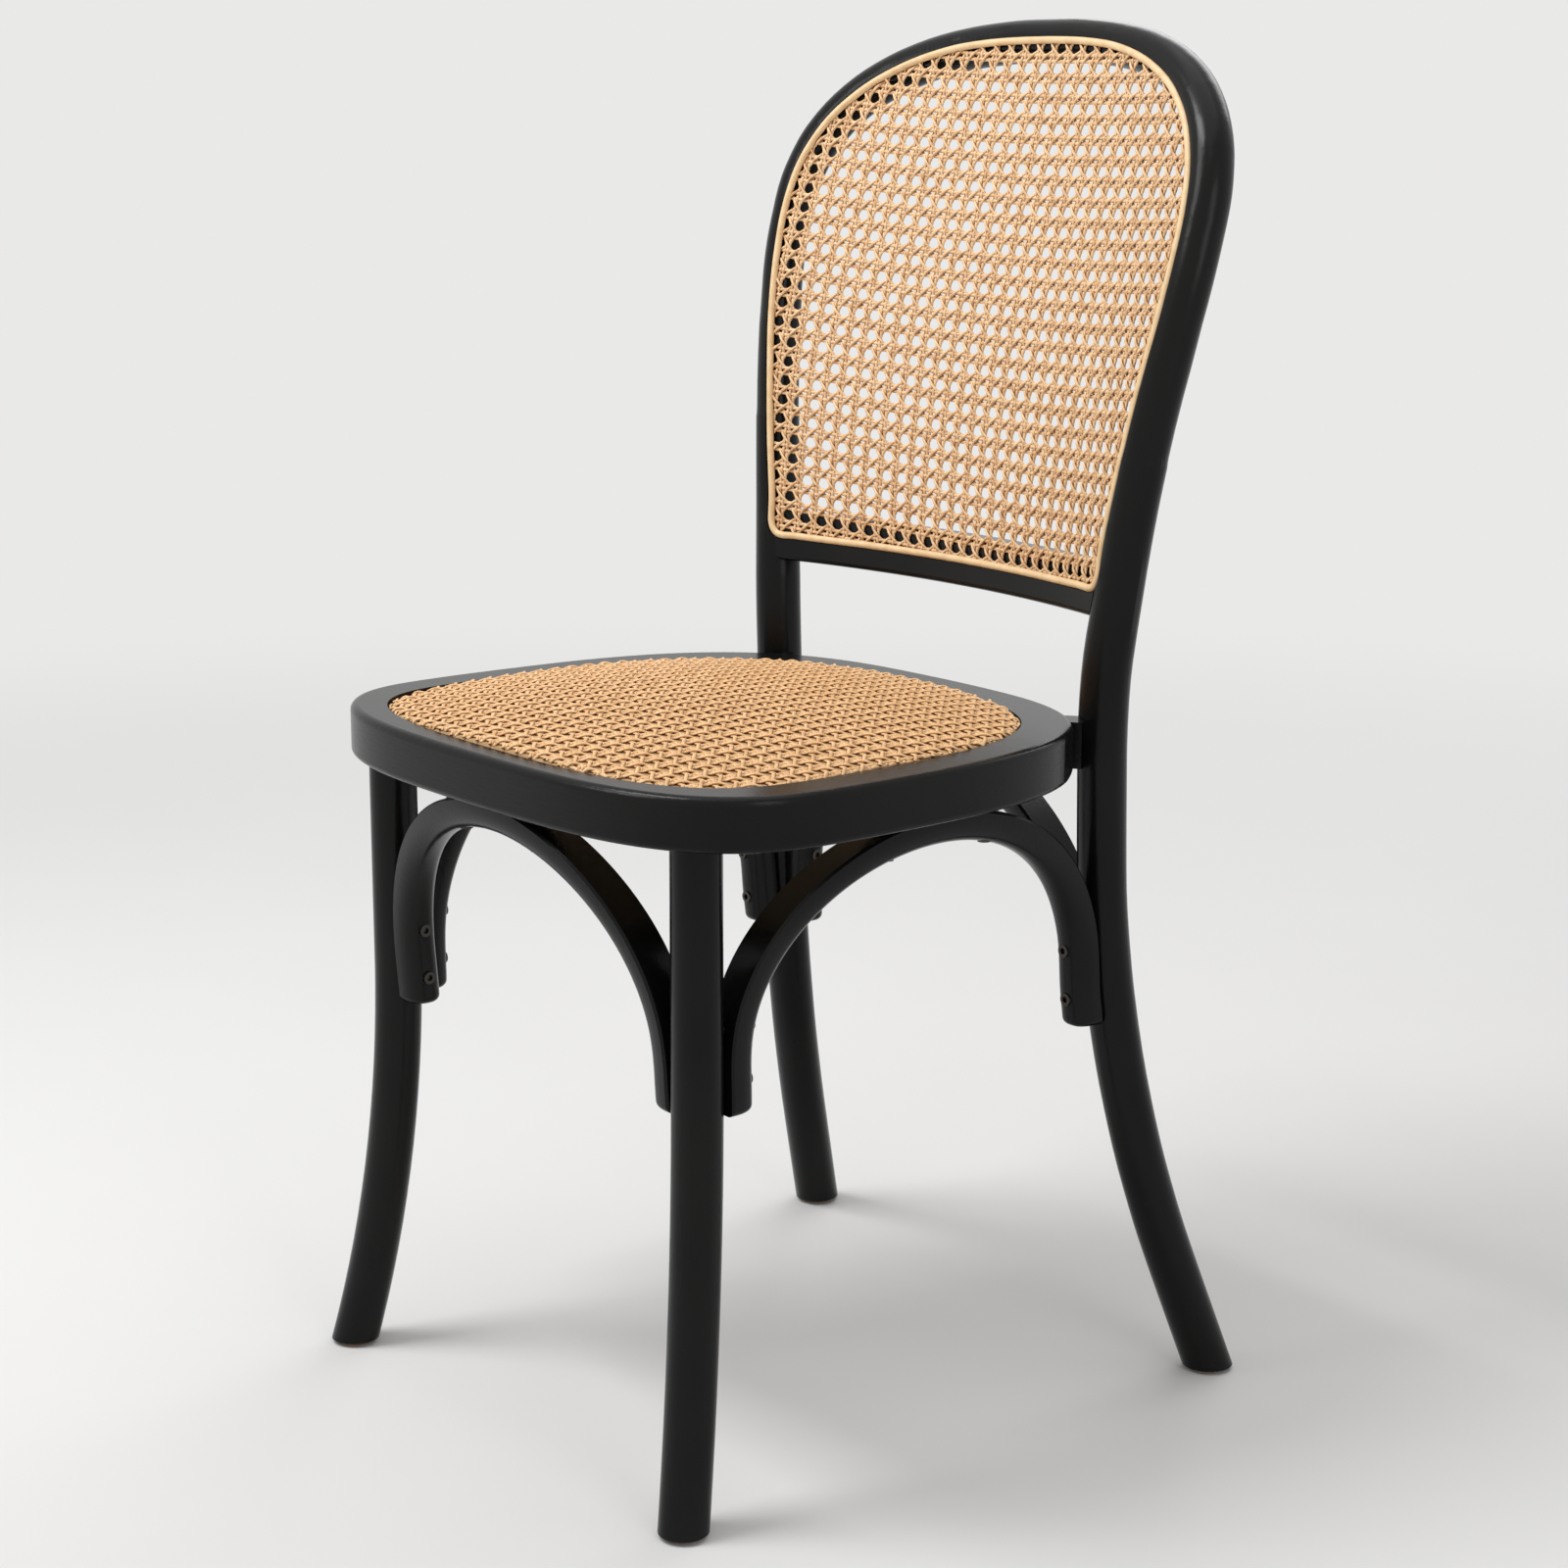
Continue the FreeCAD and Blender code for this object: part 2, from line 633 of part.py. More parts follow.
arch_screws = {name: [] for name in ARCHES}
for name, (axis, ends, mid_side, bow, lean, toe) in ARCHES.items():
    for end in (0, 1):
        sign = -1 if end == 0 else 1
        for tag, z in (("lower", dim("screw_low")), ("upper", dim("screw_high"))):
            best = min((abs(arch_point(name, sign * k / 400.0).z - z), k) for k in range(200, 401))
            point = arch_point(name, sign * best[1] / 400.0)
            way = Vec(sign, 0, 0) if axis == "x" else Vec(0, sign, 0)
            start = Vec(point.x, point.y, z) - way * (dim("arch_depth") - 1.6)
            arch_screws[name].append((end, tag, start, way))

cuts = {name: [] for name in ARCHES}
leg_cuts = {"hoop": [], "front": []}
screw_forms = []
for name, rows in arch_screws.items():
    for end, tag, start, way in rows:
        length = dim("screw_length")
        hole = rod(start - way * 0.01, start + way * (length + 1), dim("screw_radius") + GAP)
        mouth = rod(start - way * 12, start + way * 0.05, dim("screw_head_radius") + GAP)
        cuts[name] += [hole, mouth]
        rear = name == "rear" or (name in ("left", "right") and end == 1)
        leg_cuts["hoop" if rear else "front"].append(hole)
        screw_forms.append((name, end, tag, screw(start, way, length)))

crown_forms = []
ring_holes = []
for name, (axis, ends, mid_side, bow, lean, toe) in ARCHES.items():
    for end, sign in ((0, -1), (1, 1)):
        spread_at = dim("crown_screw_spread") * sign
        centre = (ends[0] + ends[1]) / 2
        target = centre + spread_at
        best = None
        for k in range(-200, 201):
            p = arch_point(name, k / 400.0)
            off = abs((p.x if axis == "x" else p.y) - target)
            if best is None or off < best[0]:
                best = (off, p)
        point = best[1]
        start = Vec(point.x, point.y, point.z - dim("arch_depth") + 2.2)
        length = dim("crown_screw_length")
        top = start + Z_AXIS * length
        hole = rod(start - Z_AXIS * 0.01, top + Z_AXIS, dim("screw_radius") + GAP)
        mouth = rod(start - Z_AXIS * 12, start + Z_AXIS * 0.05, dim("screw_head_radius") + GAP)
        cuts[name] += [hole, mouth]
        ring_holes.append((point.x, point.y, top.z + 1))
        crown_forms.append((name, end, screw(start, Z_AXIS, length)))

for name in ARCHES:
    shape = arch_shape(name)
    for tool in cuts[name]:
        shape = shape.cut(tool)
    form("arch_" + name, shape)

hoop = hoop.cut([tool for tool in leg_cuts["hoop"] if tool.BoundBox.XMin > 0])
hoop = hoop.common(Part.makeBox(600, 700, 1100, Vec(0, -100, -50)))
form("back_hoop", hoop.fuse(mirror_x(hoop)).removeSplitter())

for name in ARCHES:
    tips = [s for n, end, tag, s in screw_forms if n == name]
    form("arch_%s_leg_screws" % name, Part.makeCompound(tips))
    form("arch_%s_seat_screws" % name, Part.makeCompound([s for n, e, s in crown_forms if n == name]))

pilot = add_sketch(ring, "brace_screw_holes", "seat_under")
for x, y, z in ring_holes:
    add_circle(pilot, x, y, "screw_radius", " + dims.fit_gap")
depth = max(z for x, y, z in ring_holes) - dim("seat_under")
sheet_row = len(DIMS) + 1
sheet.set("A%d" % sheet_row, "pilot_depth")
sheet.set("B%d" % sheet_row, "%.2f" % depth)
sheet.setAlias("B%d" % sheet_row, "pilot_depth")
doc.recompute()
add_feature(ring, "Pocket", "brace_screw_cut", pilot, "dims.pilot_depth", True)

for side, tag in ((1, "right"), (-1, "left")):
    way, seat = bolt_line(side)
    turn = Place(seat, Rot(Vec(0, 0, 1).cross(way), Z_AXIS, way, "ZXY"))
    sketch = add_sketch(ring, "bolt_hole_" + tag, None, turn)
    add_circle(sketch, 0, 0, "bolt_radius", " + dims.fit_gap")
    add_feature(ring, "Pocket", "bolt_hole_cut_" + tag, sketch, "40")
    sketch = add_sketch(ring, "washer_seat_" + tag, None, turn)
    add_circle(sketch, 0, 0, "washer_radius", " + dims.fit_gap")
    add_feature(ring, "Pocket", "washer_seat_cut_" + tag, sketch, "30", False)

BOARD_SCREWS = [(0, -227), (-190, -80), (190, -80), (0, 109.5)]
board_pilots = add_sketch(ring, "board_screw_holes", "ledge_top")
for x, y in BOARD_SCREWS:
    add_circle(board_pilots, x, y, "screw_radius", " + dims.fit_gap")
add_feature(ring, "Pocket", "board_screw_cut", board_pilots, "dims.board_screw_grip + 1", False)
keep(ring, "seat_ring")

for side, tag in ((1, "right"), (-1, "left")):
    way, seat = bolt_line(side)
    head = seat - way * (dim("washer_thick") + 0.05)
    bolt = rod(head, seat + way * dim("bolt_length"), dim("bolt_radius"))
    bolt = bolt.fuse(rod(head - way * dim("bolt_head"), head, dim("bolt_head_radius")))
    bolt = bolt.cut(rod(head - way * (dim("bolt_head") + 1), head - way * 2, 2.5))
    form("stile_bolt_" + tag, bolt)
    washer = rod(seat - way * dim("washer_thick"), seat, dim("washer_radius"))
    washer = washer.cut(rod(seat - way * 9, seat + way * 9, dim("bolt_radius") + GAP))
    form("stile_washer_" + tag, washer)

board = doc.addObject("PartDesign::Body", "seat_board")
board_sketch = add_sketch(board, "board_outline", "ledge_top")
board_sketch.addGeometry(closed_curve(opening(dim("side_gap"))), False)
add_feature(board, "Pad", "board_blank", board_sketch, "dims.board_thick")
holes = add_sketch(board, "board_holes", "ledge_top")
mouths = add_sketch(board, "board_hole_mouths", "board_top")
for x, y in BOARD_SCREWS:
    add_circle(holes, x, y, "screw_radius", " + dims.fit_gap")
    add_circle(mouths, x, y, "screw_head_radius", " + dims.fit_gap")
add_feature(board, "Pocket", "board_holes_cut", holes, "dims.board_thick", True)
add_feature(board, "Pocket", "board_mouths_cut", mouths, "dims.screw_head + 0.2", False)
keep(board, "seat_board")
down = Vec(0, 0, -1)
heads = [Vec(x, y, dim("board_top") - dim("screw_head") - 0.2) for x, y in BOARD_SCREWS]
length = dim("board_thick") - dim("screw_head") - 0.2 + dim("board_screw_grip")
form("seat_board_screws", Part.makeCompound([screw(head, down, length) for head in heads]))


def dome(inset, crown):
    """Cushion block on the board: upright sides, softened edge and a gently domed top."""
    base = dim("board_top")
    rise = dim("pad_crown") - dim("pad_side")
    half = dim("open_half_width")
    reach = (half * half + rise * rise) / (2 * rise)
    outline = closed_curve(opening(inset)).toShape()
    block = Part.Face(Part.Wire([outline])).extrude(Vec(0, 0, 40))
    block.translate(Vec(0, 0, base))
    middle = dim("seat_centre") + (dim("open_rear") - dim("open_front")) / 2
    ball = Part.makeSphere(reach, Vec(0, middle, base + crown - reach))
    block = block.common(ball)
    top = [f for f in block.Faces if f.BoundBox.ZMin > base + 1 and f.Area > 50000][0]
    return block.makeFillet(dim("pad_round") - inset, top.OuterWire.Edges)


gap = dim("side_gap")
cover = dome(gap, dim("pad_crown"))
filling = dome(gap + dim("cane_thick"), dim("pad_crown") - dim("cane_thick"))
form("seat_pad", filling)
form("seat_cane", cover.cut(filling))

for side, tag in ((1, "right"), (-1, "left")):
    body = doc.addObject("PartDesign::Body", "front_leg_blank_" + tag)
    ring_sketch = add_sketch(body, "leg_section_" + tag, "seat_under")
    add_circle(ring_sketch, 0, 0, "front_leg_radius")
    path = body.newObject("Sketcher::SketchObject", "leg_path_" + tag)
    side_plane = [f for f in body.Origin.OriginFeatures if f.Role == "XZ_Plane"][0]
    path.AttachmentSupport = [(side_plane, "")]
    path.MapMode = "FlatFace"
    top, bend = dim("seat_under"), dim("front_flare_top")
    radius = dim("front_flare_radius")
    turn = math.asin((bend + 12) / radius)
    path.addGeometry(Part.LineSegment(Vec(0, top, 0), Vec(0, bend, 0)), False)
    arc = Part.Circle(Vec(radius, bend, 0), Z_AXIS, radius)
    path.addGeometry(Part.ArcOfCircle(arc, math.pi, math.pi + turn), False)
    doc.recompute()
    pipe = body.newObject("PartDesign::AdditivePipe", "leg_rod_" + tag)
    pipe.Profile = ring_sketch
    pipe.Spine = path
    doc.recompute()
    tenon = add_sketch(body, "leg_tenon_sketch_" + tag, "seat_under")
    add_circle(tenon, 0, 0, "tenon_radius")
    add_feature(body, "Pad", "leg_tenon_" + tag, tenon, "dims.tenon_length")
    floor = add_sketch(body, "leg_foot_" + tag, "glide_thick")
    square = [Vec(-80, -80, 0), Vec(120, -80, 0), Vec(120, 80, 0), Vec(-80, 80, 0)]
    for j in range(4):
        floor.addGeometry(Part.LineSegment(square[j], square[(j + 1) % 4]), False)
    add_feature(body, "Pocket", "leg_foot_cut_" + tag, floor, "60", False)
    angle = -dim("front_flare_angle") if side > 0 else dim("front_flare_angle") - 180
    body.Placement = Place(Vec(side * dim("front_leg_half"), dim("front_leg_depth"), 0),
                           Rot(Z_AXIS, angle))
    foot = flare(dim("front_leg_half"), dim("front_leg_depth"), bend, radius,
                 -math.radians(dim("front_flare_angle")), dim("glide_thick"))
    tools = [t for t in leg_cuts["front"] if t.BoundBox.Center.x * side > 0]
    tools.append(nail_hole(side * foot.x, foot.y))
    holes = doc.addObject("Part::Feature", "front_leg_holes_" + tag)
    holes.Shape = Part.makeCompound(tools)
    leg = doc.addObject("Part::Cut", "front_leg_" + tag)
    leg.Base = body
    leg.Tool = holes
    doc.recompute()
    keep(leg, "front_leg_" + tag)

FEET = []
for side, tag in ((1, "right"), (-1, "left")):
    FEET.append(("rear_" + tag, side * rear_foot.x, rear_foot.y))
    FEET.append(("front_" + tag, side * foot.x, foot.y))
for tag, x, y in FEET:
    glide = doc.addObject("PartDesign::Body", "glide_" + tag)
    pad = add_sketch(glide, "glide_disc_" + tag)
    add_circle(pad, 0, 0, "glide_radius")
    add_feature(glide, "Pad", "glide_pad_" + tag, pad, "dims.glide_thick")
    nail = add_sketch(glide, "glide_nail_" + tag, "glide_thick")
    add_circle(nail, 0, 0, "nail_radius")
    add_feature(glide, "Pad", "glide_nail_pad_" + tag, nail, "dims.nail_length")
    glide.Placement = Place(Vec(x, y, 0), Rot())
    keep(glide, "glide_" + tag)

doc.recompute()
for obj in doc.Objects:
    if "Invalid" in obj.State or "Error" in obj.State:
        raise RuntimeError("%s is in state %s" % (obj.Label, obj.State))
for obj in nodes:
    if obj.Shape.isNull() or not obj.Shape.isValid():
        raise RuntimeError("bad shape in " + obj.Label)

os.makedirs("parts", exist_ok=True)
for obj in nodes:
    obj.Shape.exportStep("parts/%s.step" % obj.Label)
print("%d nodes, %d openings in the cane back" % (len(nodes), openings))
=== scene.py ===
"""Looks of the cane chair: satin black bentwood, woven cane back and seat, studio light.

The functions that shape the cane, the pad and the blocks work in millimetres; lights, camera
and floor are in metres.
"""
import math

import bpy
import numpy as np
from mathutils import Matrix, Vector


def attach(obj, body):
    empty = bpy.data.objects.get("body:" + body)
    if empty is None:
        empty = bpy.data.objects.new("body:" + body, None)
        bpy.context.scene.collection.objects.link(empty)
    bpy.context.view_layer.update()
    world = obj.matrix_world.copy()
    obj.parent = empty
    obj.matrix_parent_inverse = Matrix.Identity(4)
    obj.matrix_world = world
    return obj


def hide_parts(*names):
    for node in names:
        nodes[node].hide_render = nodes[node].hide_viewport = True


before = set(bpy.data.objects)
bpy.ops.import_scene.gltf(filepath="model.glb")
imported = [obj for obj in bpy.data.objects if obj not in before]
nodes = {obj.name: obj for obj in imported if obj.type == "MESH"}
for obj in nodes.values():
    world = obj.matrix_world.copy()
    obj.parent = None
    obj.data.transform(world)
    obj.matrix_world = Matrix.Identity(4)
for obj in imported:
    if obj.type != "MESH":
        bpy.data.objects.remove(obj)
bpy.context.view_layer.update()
scene = bpy.context.scene

MM = 0.001


# Materials

def material(name, color, rough, specular=0.5):
    mat = bpy.data.materials.new(name)
    mat.use_nodes = True
    shader = mat.node_tree.nodes["Principled BSDF"]
    shader.inputs["Base Color"].default_value = (*color, 1)
    shader.inputs["Roughness"].default_value = rough
    shader.inputs["Specular IOR Level"].default_value = specular
    return mat, mat.node_tree, shader


def noise(tree, scale, stretch=(1, 1, 1), detail=3.0):
    """Noise texture in the chair's own coordinates, stretched along an axis."""
    coords = tree.nodes.new("ShaderNodeTexCoord")
    mapping = tree.nodes.new("ShaderNodeMapping")
    texture = tree.nodes.new("ShaderNodeTexNoise")
    mapping.inputs["Scale"].default_value = stretch
    texture.inputs["Scale"].default_value = scale
    texture.inputs["Detail"].default_value = detail
    tree.links.new(coords.outputs["Object"], mapping.inputs["Vector"])
    tree.links.new(mapping.outputs["Vector"], texture.inputs["Vector"])
    return texture.outputs["Fac"]


def ramp(tree, value, first, last):
    """Two colours spread over a texture value; first and last are (position, colour)."""
    node = tree.nodes.new("ShaderNodeValToRGB")
    for element, (position, color) in zip(node.color_ramp.elements, (first, last)):
        element.position, element.color = position, (*color, 1)
    tree.links.new(value, node.inputs["Fac"])
    return node.outputs["Color"]


def tint(tree, shader, value, first, last):
    """Base colour that changes with a texture value."""
    tree.links.new(ramp(tree, value, first, last), shader.inputs["Base Color"])


def bump(tree, shader, value, strength, distance):
    node = tree.nodes.new("ShaderNodeBump")
    node.inputs["Strength"].default_value = strength
    node.inputs["Distance"].default_value = distance
    tree.links.new(value, node.inputs["Height"])
    tree.links.new(node.outputs["Normal"], shader.inputs["Normal"])


def black_wood(name, grain):
    """Satin black lacquer over open-grained wood; grain is the stretch along the piece."""
    mat, tree, shader = material(name, (0.005, 0.005, 0.005), rough=0.23, specular=0.17)
    tint(tree, shader, noise(tree, 9, detail=2),
         (0.3, (0.003, 0.003, 0.003)), (0.7, (0.007, 0.0065, 0.006)))
    bump(tree, shader, noise(tree, 60, grain, detail=5), strength=0.18, distance=0.0006)
    return mat


def cane_material(name, light, dark, scale):
    """Cane in two close tones, with painted shade in the creases between strands: ambient
    occlusion darkens the base colour there.
    """
    mat, tree, shader = material(name, light, rough=0.42, specular=0.45)
    tone = ramp(tree, noise(tree, scale, detail=4), (0.32, dark), (0.6, light))
    # Painted shade: an ambient-occlusion node darkens the base colour to brown in the creases
    # between strands.
    painted_crease_shade = tree.nodes.new("ShaderNodeAmbientOcclusion")
    painted_crease_shade.samples = 8
    painted_crease_shade.inputs["Distance"].default_value = 0.003
    shade = ramp(tree, painted_crease_shade.outputs["AO"], (0.25, (0.4, 0.28, 0.18)), (0.8, (1, 1, 1)))
    both = tree.nodes.new("ShaderNodeMixRGB")
    both.blend_type = "MULTIPLY"
    both.inputs["Fac"].default_value = 1
    tree.links.new(tone, both.inputs["Color1"])
    tree.links.new(shade, both.inputs["Color2"])
    tree.links.new(both.outputs["Color"], shader.inputs["Base Color"])
    bump(tree, shader, noise(tree, 900, detail=2), strength=0.2, distance=0.0003)
    return mat


def pad_foam():
    mat, tree, shader = material("seat_pad", (0.5, 0.31, 0.15), rough=0.8, specular=0.2)
    tint(tree, shader, noise(tree, 300), (0.3, (0.44, 0.26, 0.12)), (0.7, (0.56, 0.36, 0.19)))
    return mat


def dark_steel():
    mat, tree, shader = material("screw_steel", (0.06, 0.055, 0.05), rough=0.32)
    shader.inputs["Metallic"].default_value = 1
    bump(tree, shader, noise(tree, 700), strength=0.1, distance=0.0002)
    return mat


def glide_plastic():
    mat, tree, shader = material("glide", (0.4, 0.24, 0.12), rough=0.5)
    bump(tree, shader, noise(tree, 500), strength=0.1, distance=0.0003)
    return mat


def plywood():
    mat, tree, shader = material("plywood", (0.5, 0.34, 0.19), rough=0.6)
    tint(tree, shader, noise(tree, 30, (1, 12, 1)),
         (0.3, (0.42, 0.28, 0.15)), (0.7, (0.58, 0.42, 0.25)))
    return mat


WOOD_UP = black_wood("black_wood_upright", (9, 9, 1))
WOOD_ACROSS = black_wood("black_wood_across", (1, 6, 9))
# All three cane materials carry the painted crease shade of cane_material.
CANE_BACK = cane_material("cane_back", (0.92, 0.64, 0.37), (0.66, 0.38, 0.18), 200)
CANE_SEAT = cane_material("cane_seat", (0.92, 0.59, 0.3), (0.7, 0.4, 0.17), 180)
BINDING = cane_material("cane_binding", (0.88, 0.65, 0.38), (0.78, 0.54, 0.29), 120)
PAD = pad_foam()
STEEL = dark_steel()
GLIDE = glide_plastic()
PLY = plywood()

LOOK_OF = {"back_cane_binding": BINDING, "back_cane_panel": CANE_BACK, "seat_cane": CANE_SEAT,
           "seat_pad": PAD, "seat_board": PLY, "seat_ring": WOOD_ACROSS,
           "back_rail": WOOD_ACROSS}


def look(name):
    """Material of a CAD piece; what isn't named or metal, glide or dowel is upright wood."""
    if "screw" in name or "bolt" in name or "washer" in name:
        return STEEL
    if name.startswith("glide"):
        return GLIDE
    if "dowel" in name:
        return PLY
    return LOOK_OF.get(name, WOOD_UP)


for name, node in nodes.items():
    node.data.materials.clear()
    node.data.materials.append(look(name))


# Strands and their weave

# Outline of a strand across its run, in widths and thicknesses: flat below, crowned above.
SECTION = [(-0.5, -0.45), (-0.4, 0.2), (0.0, 0.5), (0.4, 0.2), (0.5, -0.45)]
STEPS = 10      # points of a strand in one pitch
SHORTEST = 4    # points of the shortest strand that is made


def unit(rows):
    return rows / np.maximum(np.linalg.norm(rows, axis=1), 1e-9)[:, None]


def ribbon(points, normals, width, thick):
    """Vertices and faces of one strand."""
    run = unit(np.gradient(points, axis=0))
    across = np.cross(run, normals)
    rings = [points + across * (a * width) + normals * (b * thick) for a, b in SECTION]
    verts = np.stack(rings, axis=1).reshape(-1, 3)
    count, sides = len(points), len(SECTION)
    base = (np.arange(count - 1) * sides)[:, None]
    side = np.arange(sides)[None, :]
    after = (side + 1) % sides
    faces = np.stack([base + side, base + after, base + sides + after, base + sides + side],
                     axis=2)
    return verts, faces.reshape(-1, 4)


def mesh_object(name, pieces, mat):
    """One smooth object from many (vertices, faces), in millimetres."""
    verts, faces, start = [], [], 0
    for v, f in pieces:
        verts.append(v)
        faces.append(f + start)
        start += len(v)
    verts, faces = np.concatenate(verts) * MM, np.concatenate(faces)
    mesh = bpy.data.meshes.new(name)
    mesh.vertices.add(len(verts))
    mesh.vertices.foreach_set("co", verts.astype(np.float32).ravel())
    mesh.loops.add(faces.size)
    mesh.loops.foreach_set("vertex_index", faces.astype(np.int32).ravel())
    mesh.polygons.add(len(faces))
    mesh.polygons.foreach_set("loop_start", np.arange(0, faces.size, 4, dtype=np.int32))
    mesh.update(calc_edges=True)
    mesh.validate()
    mesh.polygons.foreach_set("use_smooth", np.ones(len(mesh.polygons), dtype=bool))
    obj = bpy.data.objects.new(name, mesh)
    scene.collection.objects.link(obj)
    mesh.materials.append(mat)
    return obj


def over_under(values, pitch, part):
    """Height of a strand as it passes over one strand of a pair and under the other."""
    off = (values / pitch + 0.5) % 1 - 0.5
    return np.where(np.abs(off) < 2 * part, np.sin(math.pi * off / (2 * part)), 0.0)


def weave(inside, place, size, pitch, parts, width, slim, thick, sway):
    """Cane weave: pairs of strands both ways and one strand along each diagonal.

    inside tells which flat points belong to the panel, place puts flat points and a lift on
    the surface, size is the flat box. The strands of a pair lie parts of the pitch to each
    side of the pair's middle. width is that of the pairs, slim that of the diagonals, and
    sway is how far a strand rises and dips where it crosses a pair.
    """
    (u0, v0), (u1, v1) = size
    pu, pv = pitch
    pieces = []

    def strand(u, v, lift, wide):
        keep = inside(u, v)
        if keep.sum() < SHORTEST:
            return
        first, last = np.argmax(keep), len(keep) - np.argmax(keep[::-1])
        points, normals = place(u[first:last], v[first:last], lift[first:last])
        pieces.append(ribbon(points, normals, wide, thick))

    columns = np.arange(u0 // pu * pu, u1 + pu, pu / STEPS)
    rows = np.arange(v0 // pv * pv, v1 + pv, pv / STEPS)
    for k in range(int(u0 // pu), int(u1 // pu) + 2):
        for side in (-1, 1):
            u = np.full_like(rows, (k + parts[0] * side) * pu)
            strand(u, rows, side * sway * over_under(rows, pv, parts[1]), width)
    for k in range(int(v0 // pv), int(v1 // pv) + 2):
        for side in (-1, 1):
            v = np.full_like(columns, (k + parts[1] * side) * pv)
            strand(columns, v, -side * sway * over_under(columns, pu, parts[0]), width)
    slope = pv / pu
    for way in (1, -1):
        lift = -way * (sway + 0.5 * thick) * np.cos(2 * math.pi * columns / pu) + 0.35 * thick
        ends = sorted((way * u0 * slope, way * u1 * slope))
        for k in range(int((v0 - ends[1]) // pv) - 1, int((v1 - ends[0]) // pv) + 2):
            v = (k + 0.5) * pv + way * columns * slope
            strand(columns, v, lift, slim)
    return pieces


# Cane of the back, bowed about the upright along a line that leans back

BOW = 690.0                         # radius of the bow
LEAN_LOW, LEAN_HIGH = 0.08, 0.272   # slope of the line below and above its bend
BEND_LOW, BEND_HIGH = 530, 740      # heights between which it bends
LINE_DEPTH = 159.1                  # depth of the line where the bend starts
CANE_AHEAD = 12.7                   # distance of the strands in front of the line
MIDDLE_Z = 720.0                    # height of the panel's middle
SECTORS = 180                       # directions in which the binding's line is read
EDGE_GAP = 0.5                      # distance of the strands' ends from that line


def back_line(z):
    up = np.clip(z, None, BEND_HIGH) - BEND_LOW
    bend = (LEAN_HIGH - LEAN_LOW) / (BEND_HIGH - BEND_LOW)
    curve = LINE_DEPTH + LEAN_LOW * up + np.where(z > BEND_LOW, bend * up * up / 2, 0)
    return curve + LEAN_HIGH * np.maximum(z - BEND_HIGH, 0)


def back_depth(x, z):
    return back_line(z) - BOW + np.sqrt(BOW * BOW - x * x)


def drift(x, z):
    """Where the stretched sheet of cane carries a point of its even grid."""
    a, b = x / 100, (z - MIDDLE_Z) / 100
    side = (3.7 - 2.2 * a - 3.4 * b - 1.6 * a * a + 0.8 * a * b + 1.4 * b * b
            - 1.1 * a ** 3 + 1.85 * a * a * b)
    rise = -3.85 - 1.9 * a - 1.4 * b + 1.65 * a * a - 0.2 * a * b + 0.2 * b * b
    return x + side, z + rise


def back_place(x, z, lift):
    """Points of the drifted sheet at a lift from the back's surface, and their normals."""
    x, z = drift(x, z)
    dx = (back_depth(x + 1, z) - back_depth(x - 1, z)) / 2
    dz = (back_depth(x, z + 1) - back_depth(x, z - 1)) / 2
    normals = unit(np.stack([dx, -np.ones_like(x), dz], axis=1))
    points = np.stack([x, back_depth(x, z), z], axis=1)
    return points + normals * (CANE_AHEAD + lift)[:, None], normals


def from_middle(x, z):
    """Direction and distance of points from the panel's middle."""
    return np.arctan2(z - MIDDLE_Z, x), np.hypot(z - MIDDLE_Z, x)


def binding_line():
    """Directions from the panel's middle, and how far away the binding is in each."""
    mesh = nodes["back_cane_binding"].data
    cord = np.zeros(len(mesh.vertices) * 3, dtype=np.float32)
    mesh.vertices.foreach_get("co", cord)
    cord = cord.reshape(-1, 3) / MM
    angles, reach = from_middle(cord[:, 0], cord[:, 2])
    sector = ((angles + math.pi) / (2 * math.pi) * SECTORS).astype(int) % SECTORS
    known = np.array([k for k in range(SECTORS) if (sector == k).any()])
    centres = (known + 0.5) / SECTORS * 2 * math.pi - math.pi
    return centres, np.array([reach[sector == k].mean() for k in known])


binding_way, binding_reach = binding_line()


def in_back(x, z):
    """Whether the cane above a point of the back's surface lies inside the binding's line."""
    seen = back_place(x, z, np.zeros_like(x))[0]
    angle, reach = from_middle(seen[:, 0], seen[:, 2])
    limit = np.interp(angle, binding_way, binding_reach, period=2 * math.pi)
    return reach < limit - EDGE_GAP


back_strands = weave(in_back, back_place, size=((-232, 525), (232, 925)), pitch=(14.85, 13.6),
                     parts=(0.1, 0.145), width=2.6, slim=2.1, thick=1.3, sway=0.6)
back_cane = mesh_object("woven_back", back_strands, CANE_BACK)
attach(back_cane, "root")
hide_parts("back_cane_panel")


# Cane of the seat and the pad below it: a rounded outline with a domed top

SEAT_Y = -120.0                             # depth of the outline's widest place
HALF, FRONT, REAR = 196.5, 113.5, 236.1     # its reach from there
POWER = 3.15                                # how square it is
CROWN_Z, CROWN_Y = 471.2, -58.7             # the dome's highest point
RISE, RISE_OVER = 10.5, 197.0               # how far it drops over which distance
DOME = (RISE_OVER ** 2 + RISE ** 2) / (2 * RISE)
ROUND = 5.0                                 # radius where the top rolls down at the outline
STRANDS_BELOW = 1.4                         # middle of the strands below the dome
STRANDS_END = 0.9985                        # share of the outline where the strands end
PAD_BELOW = 2.6                             # top of the pad below the dome
PAD_FOOT = 453.0                            # height of the pad's lower edge
PAD_SPOKES = 160
PAD_SHARES = list(np.linspace(0.02, 0.94, 24)) + [0.955, 0.97, 0.98, 0.988, 0.994, 0.998]


def seat_share(x, y):
    """0 at the middle of the seat, 1 on the cane's outline."""
    depth = np.where(y > SEAT_Y, REAR, FRONT)
    return (np.abs(x / HALF) ** POWER + np.abs((y - SEAT_Y) / depth) ** POWER) ** (1 / POWER)


